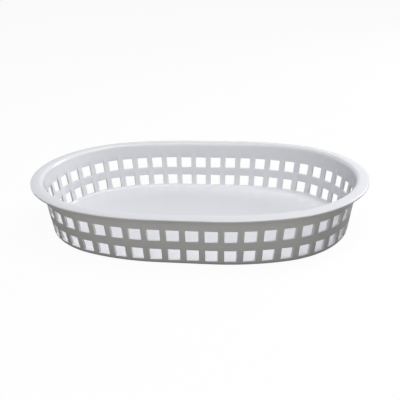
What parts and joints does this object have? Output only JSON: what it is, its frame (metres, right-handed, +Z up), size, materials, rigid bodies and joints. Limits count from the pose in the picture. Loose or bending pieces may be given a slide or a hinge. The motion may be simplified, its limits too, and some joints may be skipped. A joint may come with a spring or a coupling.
{
  "type": "serving basket",
  "caption": "Shallow oval serving basket moulded in one piece, with a solid floor, a leaning wall pierced by two rows of square windows, and a wide crowned rim.",
  "frame": {"origin": "middle of the underside, where the floor stands on the table", "axes": "+X along the length, +Y across the width, +Z up out of the mouth"},
  "size_m": [0.267, 0.176, 0.0425],
  "materials": {
    "basket_plastic": "white polypropylene, glossy on the floor and rim, satin on the wall"
  },
  "bodies": {
    "root": {"basket": "basket_plastic"}
  },
  "joints": []
}
